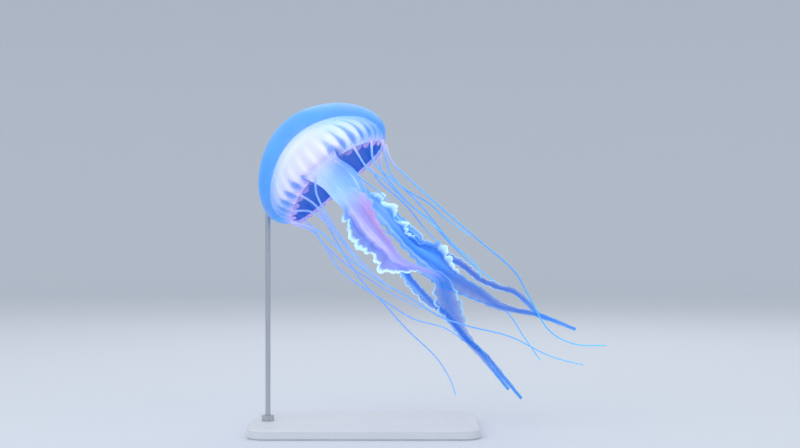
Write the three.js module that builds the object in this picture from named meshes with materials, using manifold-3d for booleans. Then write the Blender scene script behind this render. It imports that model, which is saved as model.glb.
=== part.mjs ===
// A sea nettle jellyfish, life size, swimming up and to the left with its arms and tentacles trailing.
// One steel rod holds it above a flat display base. Millimetres, +Z up, -Y towards the viewer.
import * as THREE from "three";
import { mergeVertices } from "three/addons/utils/BufferGeometryUtils.js";
import Module from "manifold-3d";

// ---- Driving dimensions ----
const GAP = 0.3; // left between two pieces that touch
const FRONT = new THREE.Vector3(0, -1, 0);

// The bell hangs in its own frame: the apex at the origin, +Z out of the apex, -Y near the viewer.
// A depth is measured from the apex towards the opening.
const BELL_PLACE = [-64.3, 4.4, 246.6];
const BELL_LEAN = 41.5; // degrees, the apex leans to the left
const BELL_TILT = 10; // degrees, the opening turns towards the viewer
const BELL_RADIUS = 59.4;
const BELL_WIDEST_DEPTH = 48.7;
const BELL_CURL = 14; // how far the skirt turns in below the widest level
const BELL_FULLNESS = 1.72; // 2 would be an ellipse
const HOLLOW_RADIUS = 53.4;
const HOLLOW_TOP_DEPTH = 15.3; // thickness of the jelly at the apex
const HOLLOW_WIDEST_DEPTH = 51.5;
const HOLLOW_CURL = 9;
const HOLLOW_FULLNESS = 1.7;
const RIM_DEPTH = 62.7; // at the front and the back
const RIM_DROOP = 5.5; // how much lower the two sides hang
const SKIRT_CUT = 0.55; // where the lappet ring begins, as a share of the skirt
const LINING_END = 0.8; // where the lining under the bell ends
const LINING_THICKNESS = 2;
const SEPTA = 16; // folds of the lining that run out from the stomach
const LAPPETS = 32;
const LAPPET_NOTCH = 0.2; // how far the notches reach up, as a share of the skirt

const STOMACH_RADIUS = 24; // where the stomach spreads out under the lining
const STOMACH_DEPTH = 24.6;
const MANUBRIUM_RADIUS = 10;
const MANUBRIUM_END_DEPTH = 70.7;
const MANUBRIUM_LOBE = 0.1; // its four ridges, as a share of the radius
const ARM_ROOT_RADIUS = 9;
const ARM_LENGTHS = 4; // pieces that each arm is divided into
const ARM_ROWS = 11;
const ARM_STATIONS = [-1, -0.7, -0.35, 0, 0.35, 0.7, 1]; // across an arm: left lip, midrib, right lip
const TAIL_STATIONS = [-1, -0.5, 0, 0.5, 1]; // across its two last lengths
const ARM_OPENING = 24; // over this length an arm opens from a quarter tube to a ribbon
const LIP_HALF = 0.36;
const RIB_HALF = 1.5;
const RUFFLE_WAVE = 14;
const RUFFLE_MOST = 4;
const TWIST = 32; // degrees that an arm turns to and fro along its length
const TWIST_WAVE = 150;
const SWAY = 4; // how far arms and tentacles wander nearer and farther from the viewer
const SWAY_WAVE = 130;

const TENTACLE_ROOT_RADIUS = 0.85;
const TENTACLE_TIP_RADIUS = 0.5;
const TENTACLE_SIDES = 5;
const TENTACLE_STEP = 10;
const LONG_TENTACLE = 190; // over this length a tentacle is divided into three, not two

const BASE_SIZE = [180, 116, 8];
const BASE_CORNER = 14;
const BASE_BEVEL = 1.2;
const ROD_RADIUS = 2;
const ROD_SIDES = 16;
const ROD_PLACE = [-77.5, -1.5];
const ROD_TOP = 183;
const ROD_SEAT = 3; // height of the bottom of the rod's socket in the base
const COLLAR_RADIUS = 5;
const COLLAR_HEIGHT = 4;

// Each arm: its place around the manubrium in degrees, how far its outer face turns away from the viewer,
// how far its lips fold back, and its course: x, y, z of the midrib, then the widths of its two lips, the
// left one of the outer face first.
const ARMS = {
  front: {
    angle: -108,
    turn: 0,
    fold: 0.22,
    course: [
      [-15, -20, 188, 8.8, 11],
      [-5, -23, 174, 12.8, 12.8],
      [6, -24, 160, 15.2, 8],
      [16, -24, 149, 12, 6.4],
      [26, -24, 138, 11.2, 3.2],
      [37, -23, 132, 3.2, 2.4],
      [49, -22, 128, 2.4, 2.4],
      [60, -21, 121, 4.8, 5.6],
      [64, -20, 108, 8.8, 8],
      [68, -19, 95, 7.2, 8],
      [77, -18, 79, 4, 4],
      [92, -17, 62, 2.8, 2.4],
      [103, -16, 48, 1.3, 1.3],
      [114, -16, 34, 0.9, 0.9],
    ],
  },
  right: {
    angle: -18,
    turn: 20,
    fold: 0.15,
    course: [
      [1, -9, 186, 4.8, 7.2],
      [14, -8, 173, 4.8, 11.6],
      [27, -7, 158, 4.8, 7.6],
      [39, -6, 146, 5.6, 6.8],
      [52, -5, 137, 9.6, 15.2],
      [65, -4, 128, 14.4, 6.4],
      [77, -3, 120, 11.2, 3.2],
      [92, -3, 111, 8, 3.2],
      [105, -3, 101, 4, 3.2],
      [120, -2, 96, 1.8, 1.8],
      [140, -2, 92, 1.5, 1.5],
      [168, -2, 81, 1, 1],
    ],
  },
  left: {
    angle: 162,
    turn: -20,
    fold: 0.15,
    course: [
      [-12, 0, 171, 4.8, 4],
      [6, 3, 152, 4.8, 4],
      [18, 5, 140, 4, 4],
      [29, 6, 131, 4, 3.2],
      [35, 7, 121, 3.6, 3.2],
      [44, 7, 111, 4, 2.8],
      [53, 8, 102, 3.6, 2.8],
      [63, 8, 94, 2.4, 2.4],
      [73, 8, 83, 2, 2],
      [83, 8, 71, 1.8, 1.8],
      [96, 8, 60, 1.6, 1.6],
      [111, 8, 42, 1.4, 1.4],
      [126, 8, 24, 0.9, 0.9],
    ],
  },
  back: {
    angle: 72,
    turn: 180,
    fold: 0.2,
    course: [
      [1, 10, 187, 4.8, 4.8],
      [16, 13, 176, 4.8, 4.8],
      [32, 13, 162, 4.8, 4.8],
      [48, 14, 147, 4.8, 4],
      [64, 14, 139, 4, 3.2],
      [78, 14, 132, 3.2, 2.4],
      [93, 14, 120, 2.8, 2.4],
      [109, 13, 113, 2.4, 2],
      [120, 13, 110, 2.4, 2],
      [131, 12, 101, 2.4, 2],
      [141, 12, 91, 1.6, 1.6],
      [154, 12, 87, 1, 1],
    ],
  },
};

// The course of each tentacle after its root. The roots stand evenly around the rim, in every second
// notch, from the right end round the front to the left end and round the back.
const TENTACLES = [
  [[19, -15, 209], [26, -16, 198], [45, -18, 179], [67, -20, 152], [87, -21, 134], [92, -21, 121]],
  [[8, -30, 213], [23, -29, 199], [37, -28, 189], [51, -27, 181], [63, -26, 170], [84, -25, 155]],
  [[3, -42, 208], [16, -41, 199], [28, -40, 187], [43, -39, 174], [61, -38, 158]],
  [[-13, -48, 208], [-2, -47, 200], [10, -46, 191], [21, -45, 181]],
  [[-36, -49, 188], [-30, -48, 176], [-21, -46, 161], [-12, -45, 148], [-5, -44, 138]],
  [[-39, -42, 181], [-30, -41, 171], [-21, -40, 157], [-10, -38, 142], [7, -36, 124]],
  [[-43, -30, 175], [-34, -30, 170], [-23, -30, 159], [-11, -31, 146], [2, -32, 132], [22, -33, 114]],
  [
    [-37, -16, 160], [-11, -19, 137], [12, -22, 120], [36, -25, 107], [59, -28, 93], [83, -30, 85],
    [114, -31, 77], [145, -31, 62], [172, -30, 55],
  ],
  [
    [-42, 1, 159], [-32, 0, 147], [-24, -1, 133], [-10, -3, 120], [14, -6, 105], [38, -9, 90],
    [64, -10, 82], [83, -11, 69],
  ],
  [[-42, 15, 161], [-33, 14, 148], [-16, 13, 133], [2, 12, 121], [24, 11, 107], [47, 10, 96]],
  [
    [-31, 26, 164], [-19, 25, 142], [-3, 24, 118], [15, 23, 100], [33, 22, 80], [56, 21, 58],
    [68, 20, 40], [74, 19, 24],
  ],
  [
    [-11, 34, 173], [3, 33, 155], [18, 32, 141], [31, 31, 133], [61, 29, 116], [89, 28, 103],
    [114, 27, 94], [129, 26, 73], [143, 25, 53],
  ],
  [[2, 36, 186], [18, 35, 173], [33, 34, 155], [48, 33, 142], [69, 31, 129], [94, 29, 111]],
  [[12, 30, 199], [21, 29, 191], [35, 28, 178], [51, 27, 158], [66, 26, 144]],
  [
    [13, 20, 209], [21, 20, 198], [36, 20, 181], [51, 20, 169], [68, 20, 150], [85, 20, 134],
    [107, 20, 117],
  ],
  [
    [21, 3, 216], [31, 2, 205], [60, 0, 179], [92, -4, 151], [118, -9, 128], [131, -12, 106],
    [146, -14, 81], [166, -14, 70], [192, -14, 69],
  ],
];

const COLOURS = {
  bell: new THREE.MeshStandardMaterial({ color: 0x6fb0f2, roughness: 0.25, metalness: 0 }),
  lining: new THREE.MeshStandardMaterial({ color: 0xf0ecfa, roughness: 0.4, metalness: 0 }),
  margin: new THREE.MeshStandardMaterial({ color: 0xeab9e6, roughness: 0.35, metalness: 0 }),
  manubrium: new THREE.MeshStandardMaterial({ color: 0xa9d0f7, roughness: 0.35, metalness: 0 }),
  arms: new THREE.MeshStandardMaterial({ color: 0x8fc0f5, roughness: 0.35, metalness: 0 }),
  tentacles: new THREE.MeshStandardMaterial({ color: 0x86b4ee, roughness: 0.35, metalness: 0 }),
  base: new THREE.MeshStandardMaterial({ color: 0xd4d7db, roughness: 0.45, metalness: 0 }),
  steel: new THREE.MeshStandardMaterial({ color: 0xb9bdc2, roughness: 0.3, metalness: 1 }),
};

// ---- Meshes from rings of points ----
const clamp01 = (x) => Math.min(Math.max(x, 0), 1);
const smooth = (x) => clamp01(x) ** 2 * (3 - 2 * clamp01(x));
const mix = (a, b, share) => a + (b - a) * share;
const range = (count) => Array.from({ length: count }, (_, i) => i);

// Joins each ring to the next. "loop" joins the last ring to the first, "strip" fills the first and last
// rings across their width, and "poles" expects them to be single points.
function loft(rings, ends) {
  const size = rings[0].length;
  const index = [];
  const quad = (a, b, c, d) => index.push(a, b, c, a, c, d);
  const joins = ends === "loop" ? rings.length : rings.length - 1;
  for (const i of range(joins)) {
    const next = (i + 1) % rings.length;
    for (const j of range(size)) {
      const k = (j + 1) % size;
      quad(i * size + j, i * size + k, next * size + k, next * size + j);
    }
  }
  if (ends === "strip") {
    const last = (rings.length - 1) * size;
    for (const j of range(size / 2 - 1)) {
      quad(j, size - 1 - j, size - 2 - j, j + 1);
      quad(last + j, last + j + 1, last + size - 2 - j, last + size - 1 - j);
    }
  }
  return closed(rings.flat(), index);
}

// A closed geometry with its corners merged, its collapsed triangles dropped and its faces pointing out.
function closed(points, index) {
  const raw = new THREE.BufferGeometry().setFromPoints(points);
  raw.setIndex(index);
  const merged = mergeVertices(raw, 1e-4);
  const corners = merged.index.array;
  const place = merged.attributes.position;
  const kept = [];
  let volume = 0;
  const [a, b, c] = [new THREE.Vector3(), new THREE.Vector3(), new THREE.Vector3()];
  for (let i = 0; i < corners.length; i += 3) {
    const [p, q, r] = [corners[i], corners[i + 1], corners[i + 2]];
    if (p === q || q === r || r === p) continue;
    kept.push([p, q, r]);
    a.fromBufferAttribute(place, p);
    b.fromBufferAttribute(place, q);
    c.fromBufferAttribute(place, r);
    volume += a.dot(b.cross(c)) / 6;
  }
  merged.setIndex(kept.flatMap(([p, q, r]) => (volume < 0 ? [p, r, q] : [p, q, r])));
  return merged;
}

function named(name, geometry, material) {
  const mesh = new THREE.Mesh(geometry, material);
  mesh.name = name;
  return mesh;
}

// ---- Booleans ----
const wasm = await Module();
wasm.setup();

function solidOf(geometry) {
  const bare = geometry.clone();
  bare.deleteAttribute("normal");
  bare.deleteAttribute("uv");
  const merged = mergeVertices(bare, 1e-4);
  const mesh = new wasm.Mesh({
    numProp: 3,
    vertProperties: new Float32Array(merged.attributes.position.array),
    triVerts: new Uint32Array(merged.index.array),
  });
  return new wasm.Manifold(mesh);
}

function subtract(geometry, ...cutters) {
  const made = cutters.reduce((solid, cutter) => solid.subtract(solidOf(cutter)), solidOf(geometry));
  const mesh = made.getMesh();
  const result = new THREE.BufferGeometry();
  result.setAttribute("position", new THREE.BufferAttribute(mesh.vertProperties, 3));
  result.setIndex(new THREE.BufferAttribute(mesh.triVerts, 1));
  return result;
}

// ---- Bell ----
const radians = THREE.MathUtils.degToRad;
const bell = new THREE.Group();
bell.position.set(...BELL_PLACE);
bell.rotation.set(-radians(BELL_TILT), -radians(BELL_LEAN), 0, "YXZ");
bell.updateMatrixWorld(true);

// A point of the bell's frame from its distance to the axis, its angle round it and its depth.
const around = (radius, angle, depth) =>
  new THREE.Vector3(radius * Math.cos(angle), radius * Math.sin(angle), -depth);
const rimDepth = (angle) => RIM_DEPTH + RIM_DROOP * Math.cos(angle) ** 2;

// Both surfaces run from the axis (0) over the dome to the widest level (1) and down the skirt (2).
function profile(at, angle, radius, top, widest, curl, fullness) {
  if (at <= 1) {
    const turn = (at * Math.PI) / 2;
    const rise = Math.max(Math.cos(turn), 0) ** (2 / fullness);
    return [radius * Math.sin(turn) ** (2 / fullness), widest - (widest - top) * rise];
  }
  const down = at - 1;
  return [radius - curl * down ** 2.4, mix(widest, rimDepth(angle), down)];
}
const outside = (at, angle) =>
  profile(at, angle, BELL_RADIUS, 0, BELL_WIDEST_DEPTH, BELL_CURL, BELL_FULLNESS);
const hollow = (at, angle) =>
  profile(at, angle, HOLLOW_RADIUS, HOLLOW_TOP_DEPTH, HOLLOW_WIDEST_DEPTH, HOLLOW_CURL, HOLLOW_FULLNESS);

// The hollow's surface moved inwards, square to itself.
function lined(at, angle, distance) {
  const [r, d] = hollow(at, angle);
  const [before, after] = [hollow(Math.max(at - 0.01, 0), angle), hollow(Math.min(at + 0.01, 2), angle)];
  const slope = Math.atan2(after[1] - before[1], after[0] - before[0]);
  return [Math.max(r - distance * Math.sin(slope), 0), d + distance * Math.cos(slope)];
}

const angles = (count) => range(count).map((i) => (i / count) * 2 * Math.PI);
const ring = (count, place) => angles(count).map((angle) => around(...place(angle)));
const at = (surface, where) => (angle) => {
  const [r, d] = surface(where, angle);
  return [r, angle, d];
};

// The bell and its lining share their columns and levels, so that their facets run side by side.
const BELL_COLUMNS = 2 * SEPTA;
const HOLLOW_LEVELS = [0, 0.2, 0.42, 0.66, 0.9, 1.2, 1 + SKIRT_CUT];

function bellJelly() {
  const out = [0, 0.14, 0.3, 0.47, 0.64, 0.82, 1, 1.27, 1 + SKIRT_CUT];
  const rings = [
    ...out.map((where) => ring(BELL_COLUMNS, at(outside, where))),
    ...HOLLOW_LEVELS.toReversed().map((where) => ring(BELL_COLUMNS, at(hollow, where))),
  ];
  return loft(rings, "loop");
}

const septumFold = (angle) => 0.5 + 0.5 * Math.cos(SEPTA * angle);

function bellLining() {
  const end = 1 + LINING_END;
  const levels = [...HOLLOW_LEVELS, end];
  const thickness = (where, angle) => {
    const thin = mix(LINING_THICKNESS, 0.8, where / end);
    return thin * (1 + 0.6 * smooth(2 * (where - HOLLOW_LEVELS[1])) * septumFold(angle));
  };
  const top = (where, angle) => lined(where, angle, GAP);
  const underside = (where, angle) => lined(where, angle, GAP + thickness(where, angle));
  const rings = [
    ...levels.map((where) => ring(BELL_COLUMNS, at(top, where))),
    ...levels.toReversed().map((where) => ring(BELL_COLUMNS, at(underside, where))),
  ];
  return loft(rings, "loop");
}

// The margin ends in 32 rounded lappets, with a notch between each two.
const scallop = (angle) => Math.abs(Math.sin((LAPPETS / 2) * angle)) ** 0.5;
const edgeAt = (angle) => 2 - LAPPET_NOTCH * (1 - scallop(angle));

function bellMargin() {
  const columns = 2 * LAPPETS;
  const cut = 1 + SKIRT_CUT + 0.02;
  const middle = 1.7;
  const edge = (surface) => (angle) => at(surface, edgeAt(angle))(angle);
  const rings = [
    ring(columns, at(outside, cut)),
    ring(columns, at(outside, middle)),
    ring(columns, edge(outside)),
    ring(columns, edge(hollow)),
    ring(columns, at(hollow, middle)),
    ring(columns, at(hollow, cut)),
  ];
  return loft(rings, "loop");
}

function manubrium() {
  const columns = 16;
  const underside = (where) => (angle) => {
    const [r, d] = lined(where, angle, LINING_THICKNESS + 2 * GAP);
    return [r, angle, d];
  };
  const lobed = (radius, depth) => (angle) => {
    const lobe = Math.cos(4 * (angle - radians(ARMS.front.angle)));
    return [radius * (1 + MANUBRIUM_LOBE * lobe), angle, depth];
  };
  const rings = [
    ring(columns, underside(0)),
    ring(columns, underside(HOLLOW_LEVELS[1])),
    ring(columns, (angle) => [STOMACH_RADIUS, angle, STOMACH_DEPTH]),
    ring(columns, lobed(1.7 * MANUBRIUM_RADIUS, 29)),
    ring(columns, lobed(1.2 * MANUBRIUM_RADIUS, 37)),
    ring(columns, lobed(MANUBRIUM_RADIUS, 47)),
    ring(columns, lobed(MANUBRIUM_RADIUS, MANUBRIUM_END_DEPTH)),
    ring(columns, () => [0, 0, MANUBRIUM_END_DEPTH]),
  ];
  return loft(rings, "poles");
}

// ---- Courses ----
// A smooth curve through rows of numbers, one row for each whole number of t.
function spline(rows, t) {
  const i = Math.min(Math.floor(t), rows.length - 2);
  const f = t - i;
  return rows[i].map((b, n) => {
    const c = rows[i + 1][n];
    const a = i > 0 ? rows[i - 1][n] : 2 * b - c;
    const d = i + 2 < rows.length ? rows[i + 2][n] : 2 * c - b;
    const [p, q, r] = [c - a, 2 * a - 5 * b + 4 * c - d, 3 * b - a - 3 * c + d];
    return b + 0.5 * f * (p + f * (q + f * r));
  });
}

// The same curve by length: where(s) gives the row at s millimetres along it. Each course wanders a
// little in depth, in its own phase.
function course(rows, phase) {
  const FINE = 24;
  const fine = range((rows.length - 1) * FINE + 1).map((i) => {
    const row = spline(rows, i / FINE);
    const along = Math.hypot(row[0] - rows[0][0], row[2] - rows[0][2]);
    row[1] += SWAY * smooth(along / 60) * Math.sin((2 * Math.PI * along) / SWAY_WAVE + phase);
    return row;
  });
  const lengths = [0];
  for (const i of range(fine.length - 1)) {
    const [p, q] = [fine[i], fine[i + 1]];
    lengths.push(lengths[i] + Math.hypot(q[0] - p[0], q[1] - p[1], q[2] - p[2]));
  }
  const total = lengths[lengths.length - 1];
  const where = (s) => {
    const wanted = Math.min(Math.max(s, 0), total);
    const next = Math.max(lengths.findIndex((length) => length >= wanted), 1);
    const share = (wanted - lengths[next - 1]) / (lengths[next] - lengths[next - 1]);
    return fine[next].map((value, n) => mix(fine[next - 1][n], value, share));
  };
  return { total, where };
}

// The middle of a course at s with its direction, its left (as the viewer sees it run away) and its face.
function frameAt(path, s) {
  const place = (row) => new THREE.Vector3(row[0], row[1], row[2]);
  const middle = place(path.where(s));
  const ahead = place(path.where(s + 1)).sub(place(path.where(s - 1))).normalize();
  const left = new THREE.Vector3().crossVectors(ahead, FRONT).normalize();
  const face = new THREE.Vector3().crossVectors(left, ahead).normalize();
  return { middle, ahead, left, face };
}

// ---- Oral arms ----
// The middle surface of an arm, s millimetres from its root and w from -1 (left lip) to 1 (right lip).
function armSurface(arm, path, s, w) {
  const { middle, ahead, left, face } = frameAt(path, s);
  const [, , , leftLip, rightLip] = path.where(s);
  const turn = radians(arm.turn + TWIST * Math.sin((2 * Math.PI * s) / TWIST_WAVE + arm.angle));
  const width = (w < 0 ? leftLip : rightLip) / Math.abs(Math.cos(turn));
  const across = left.clone().multiplyScalar(Math.cos(turn)).addScaledVector(face, Math.sin(turn));
  const out = face.clone().multiplyScalar(Math.cos(turn)).addScaledVector(left, -Math.sin(turn));
  const phase = (2 * Math.PI * s) / RUFFLE_WAVE + (w < 0 ? 0 : 2.1) + arm.angle;
  const ruffle = Math.min(0.3 * width, RUFFLE_MOST) * Math.abs(w) ** 1.5;
  const lip = Math.abs(w) * width * (1 + 0.08 * Math.abs(w) * Math.sin(1.7 * phase));
  const ribbon = middle
    .addScaledVector(across, -Math.sign(w) * lip)
    .addScaledVector(out, ruffle * Math.sin(phase) - arm.fold * lip);
  const quarter = radians(arm.angle) + w * radians(38);
  const tube = bell.localToWorld(around(ARM_ROOT_RADIUS, quarter, MANUBRIUM_END_DEPTH + 2 * GAP + s));
  return tube.lerp(ribbon, smooth(s / ARM_OPENING));
}

// The surface thickened on both sides, from one arm length to the next.
function armLength(arm, path, from, to, stations) {
  const rows = range(ARM_ROWS).map((i) => mix(from, to, i / (ARM_ROWS - 1)));
  const rings = rows.map((s) => {
    const top = [];
    const bottom = [];
    for (const w of stations) {
      const middle = armSurface(arm, path, s, w);
      const along = armSurface(arm, path, s + 0.4, w).sub(armSurface(arm, path, s - 0.4, w));
      const inner = Math.max(w - 0.06, -1);
      const outer = Math.min(w + 0.06, 1);
      const across = armSurface(arm, path, s, outer).sub(armSurface(arm, path, s, inner));
      const normal = along.cross(across).normalize();
      const rib = mix(RIB_HALF, 0.6, smooth(s / path.total));
      const half = mix(LIP_HALF, rib, (1 - Math.abs(w)) ** 2);
      top.push(middle.clone().addScaledVector(normal, half));
      bottom.push(middle.clone().addScaledVector(normal, -half));
    }
    return [...top, ...bottom.reverse()];
  });
  return loft(rings, "strip");
}

function oralArm(name, arm) {
  const root = bell.localToWorld(around(ARM_ROOT_RADIUS, radians(arm.angle), MANUBRIUM_END_DEPTH + 2 * GAP));
  const path = course([[...root.toArray(), 6, 6], ...arm.course], radians(arm.angle));
  return range(ARM_LENGTHS).map((i) => {
    const from = (path.total * i) / ARM_LENGTHS + (i ? GAP / 2 : 0);
    const to = (path.total * (i + 1)) / ARM_LENGTHS - GAP / 2;
    const stations = i < ARM_LENGTHS / 2 ? ARM_STATIONS : TAIL_STATIONS;
    return named(`oral_arm_${name}_${i + 1}`, armLength(arm, path, from, to, stations), COLOURS.arms);
  });
}

// ---- Tentacles ----
function tentacleLength(path, from, to) {
  const steps = Math.max(Math.round((to - from) / TENTACLE_STEP), 3);
  const rings = range(steps + 1).map((i) => {
    const s = mix(from, to, i / steps);
    const { middle, left, face } = frameAt(path, s);
    const tipped = s > path.total - 0.5 ? 0.5 : 1;
    const radius = tipped * mix(TENTACLE_ROOT_RADIUS, TENTACLE_TIP_RADIUS, s / path.total);
    return angles(TENTACLE_SIDES).map((angle) =>
      middle
        .clone()
        .addScaledVector(left, radius * Math.cos(angle))
        .addScaledVector(face, radius * Math.sin(angle)),
    );
  });
  const pole = (s) => Array(TENTACLE_SIDES).fill(frameAt(path, s).middle);
  return loft([pole(from), ...rings, pole(to)], "poles");
}

function tentacle(number, waypoints) {
  const angle = -radians((number + 0.5) * (360 / TENTACLES.length));
  const [outer] = outside(edgeAt(angle), angle);
  const [inner, depth] = hollow(edgeAt(angle), angle);
  const root = bell.localToWorld(around((outer + inner) / 2, angle, depth + 4 * GAP));
  const path = course([root.toArray(), ...waypoints], 2.4 * number);
  const pieces = path.total > LONG_TENTACLE ? 3 : 2;
  const label = String(number + 1).padStart(2, "0");
  return range(pieces).map((i) => {
    const from = (path.total * i) / pieces + (i ? GAP / 2 : 0);
    const to = (path.total * (i + 1)) / pieces - GAP / 2;
    return named(`tentacle_${label}_${i + 1}`, tentacleLength(path, from, to), COLOURS.tentacles);
  });
}

// ---- Stand ----
// An upright cylinder from one height to another, on the rod's line.
function upright(radius, from, to, sides) {
  const cylinder = new THREE.CylinderGeometry(radius, radius, to - from, sides);
  cylinder.rotateX(Math.PI / 2);
  cylinder.translate(...ROD_PLACE, (from + to) / 2);
  return cylinder;
}

function standBase() {
  const [width, depth, height] = BASE_SIZE;
  const [w, d, r] = [width / 2 - BASE_BEVEL, depth / 2 - BASE_BEVEL, BASE_CORNER - BASE_BEVEL];
  const outline = new THREE.Shape();
  outline.moveTo(-w + r, -d);
  outline.lineTo(w - r, -d);
  outline.absarc(w - r, -d + r, r, -Math.PI / 2, 0);
  outline.absarc(w - r, d - r, r, 0, Math.PI / 2);
  outline.absarc(-w + r, d - r, r, Math.PI / 2, Math.PI);
  outline.absarc(-w + r, -d + r, r, Math.PI, Math.PI * 1.5);
  const slab = new THREE.ExtrudeGeometry(outline, {
    depth: height - 2 * BASE_BEVEL,
    bevelThickness: BASE_BEVEL,
    bevelSize: BASE_BEVEL,
    bevelSegments: 1,
    curveSegments: 6,
  });
  slab.translate(0, 0, BASE_BEVEL);
  return subtract(slab, upright(ROD_RADIUS + GAP, ROD_SEAT, height + 1, ROD_SIDES));
}

const standRod = () => upright(ROD_RADIUS, ROD_SEAT + GAP, ROD_TOP, ROD_SIDES);

function standCollar() {
  const [from, to] = [BASE_SIZE[2] + GAP, BASE_SIZE[2] + GAP + COLLAR_HEIGHT];
  const bore = upright(ROD_RADIUS + GAP, from - 1, to + 1, ROD_SIDES);
  return subtract(upright(COLLAR_RADIUS, from, to, ROD_SIDES), bore);
}

// ---- Assembly ----
const intoBell = new THREE.Matrix4().copy(bell.matrixWorld).invert();
const rodHole = upright(ROD_RADIUS + GAP, 0, ROD_TOP + GAP, ROD_SIDES).applyMatrix4(intoBell);

bell.add(
  named("bell", subtract(bellJelly(), rodHole), COLOURS.bell),
  named("bell_lining", bellLining(), COLOURS.lining),
  named("bell_margin", bellMargin(), COLOURS.margin),
  named("manubrium", manubrium(), COLOURS.manubrium),
);

const jellyfish = new THREE.Group();
jellyfish.add(bell);
Object.entries(ARMS).forEach(([name, arm]) => jellyfish.add(...oralArm(name, arm)));
TENTACLES.forEach((waypoints, number) => jellyfish.add(...tentacle(number, waypoints)));
jellyfish.add(
  named("stand_base", standBase(), COLOURS.base),
  named("stand_rod", standRod(), COLOURS.steel),
  named("stand_collar", standCollar(), COLOURS.steel),
);

export default jellyfish;
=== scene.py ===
# %% [markdown]
# # A sea nettle jellyfish, life size
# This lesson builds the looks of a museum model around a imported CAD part. The part gives the true places
# and sizes, as faceted solids; here its flesh is made again as smooth wet jelly, and its stand is finished.
# Everything is in metres, with +Z up and -Y towards the viewer.

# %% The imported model
import math
from bisect import bisect_left

import bmesh
import bpy
from mathutils import Matrix, Vector, noise


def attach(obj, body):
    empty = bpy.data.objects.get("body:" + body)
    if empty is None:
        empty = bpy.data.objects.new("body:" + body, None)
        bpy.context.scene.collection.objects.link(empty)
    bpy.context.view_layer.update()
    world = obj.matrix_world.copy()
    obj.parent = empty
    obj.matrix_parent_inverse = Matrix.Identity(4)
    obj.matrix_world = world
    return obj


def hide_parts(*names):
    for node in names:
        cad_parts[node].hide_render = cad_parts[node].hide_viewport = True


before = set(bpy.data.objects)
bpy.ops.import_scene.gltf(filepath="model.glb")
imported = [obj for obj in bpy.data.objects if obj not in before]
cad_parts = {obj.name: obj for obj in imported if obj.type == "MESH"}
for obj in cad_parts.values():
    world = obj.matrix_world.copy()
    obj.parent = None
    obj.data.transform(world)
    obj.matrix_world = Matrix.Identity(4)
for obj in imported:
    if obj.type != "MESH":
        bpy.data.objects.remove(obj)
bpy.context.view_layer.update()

print("CAD nodes:", len(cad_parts))

# %% [markdown]
# ## The camera
# It looks level at the animal from 1.2 m, a little above the middle of the whole model, with a long lens, so
# that the bell and the trailing tentacles keep the proportions that they have from far away.

# %% Camera
CAMERA_PLACE = (0.028, -1.2, 0.165)
CAMERA_LENS = 67.5  # millimetres on a 36 mm sensor

camera = bpy.data.objects.new("camera", bpy.data.cameras.new("camera"))
camera.location = CAMERA_PLACE
camera.rotation_euler = (math.radians(90), 0, 0)
camera.data.lens = CAMERA_LENS
camera.data.sensor_width = 36
bpy.context.scene.collection.objects.link(camera)
bpy.context.scene.camera = camera
print("camera at", CAMERA_PLACE)

# %% [markdown]
# ## Small helpers
# Shapes are worked out in millimetres, as the CAD part was, and turned to metres when a piece is finished.
# A colour is written as the hex value that a painter would pick on a screen, and turned linear here, because
# Blender's shaders count light and not screen values. A single function adds every shader node.

# %% Numbers
MM = 0.001


def mix(a, b, share):
    """From a, at a share of 0, to b, at 1."""
    return a + (b - a) * share


def smooth(x):
    """0 below 0, 1 above 1 and a soft S between them."""
    x = min(max(x, 0.0), 1.0)
    return x * x * (3 - 2 * x)


def between(x, start, end):
    """0 before start, 1 after end and a smooth rise from one to the other."""
    return smooth((x - start) / (end - start))


def hump(x, middle, spread):
    """1 at the middle, falling away softly on both sides."""
    return math.exp(-(((x - middle) / spread) ** 2))


def wave(turn):
    """0 to 1 and back as the angle goes round once, with 1 at 0."""
    return 0.5 + 0.5 * math.cos(turn)


# %% Colours and shader nodes
def colour(text, alpha=1.0):
    """A hex colour such as "#6fb0f2" as linear red, green, blue and alpha."""
    values = [int(text[i : i + 2], 16) / 255 for i in (1, 3, 5)]
    return (*(v / 12.92 if v <= 0.04045 else ((v + 0.055) / 1.055) ** 2.4 for v in values), alpha)


def add(tree, kind, inputs=None, stops=None, out=0, **settings):
    """Adds a node and gives back one of its outputs, by number or name. An input is given a value, or is
    linked where the value is another node's output."""
    made = tree.nodes.new("ShaderNode" + kind)
    for name, value in settings.items():
        setattr(made, name, value)
    for name, value in (inputs or {}).items():
        if isinstance(value, bpy.types.NodeSocket):
            tree.links.new(value, made.inputs[name])
        else:
            made.inputs[name].default_value = value
    if stops:
        ramp = made.color_ramp.elements
        while len(ramp) < len(stops):
            ramp.new(0.5)
        for element, (place, value) in zip(ramp, stops):
            element.position, element.color = place, value
    return made.outputs[out]


FACTOR, FIRST, SECOND = 0, 6, 7  # the sockets of a Mix node that mixes colours
MIX = {"data_type": "RGBA", "out": 2}
SOFT_LIGHT = {"blend_type": "SOFT_LIGHT", **MIX}
TIMES = {"operation": "MULTIPLY"}
SMOOTH = {"interpolation_type": "SMOOTHSTEP"}


def grey(value):
    """A grey for a ramp that gives a number and not a colour."""
    return (value, value, value, 1)


def surface(name, **constants):
    """A new material with one Principled shader, and its node tree and shader."""
    made = bpy.data.materials.new(name)
    made.use_nodes = True
    shader = made.node_tree.nodes["Principled BSDF"]
    for socket, value in constants.items():
        shader.inputs[socket.replace("_", " ")].default_value = value
    print("material:", name)
    return made, made.node_tree, shader


def link_shader(tree, shader, base, painted_glow, opacity=None, roughness=None):
    """Links what a material has worked out to its shader."""
    sockets = ("Base Color", "Emission Color", "Alpha", "Roughness")
    for socket, value in zip(sockets, (base, painted_glow, opacity, roughness)):
        if value is not None:
            tree.links.new(value, shader.inputs[socket])


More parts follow.
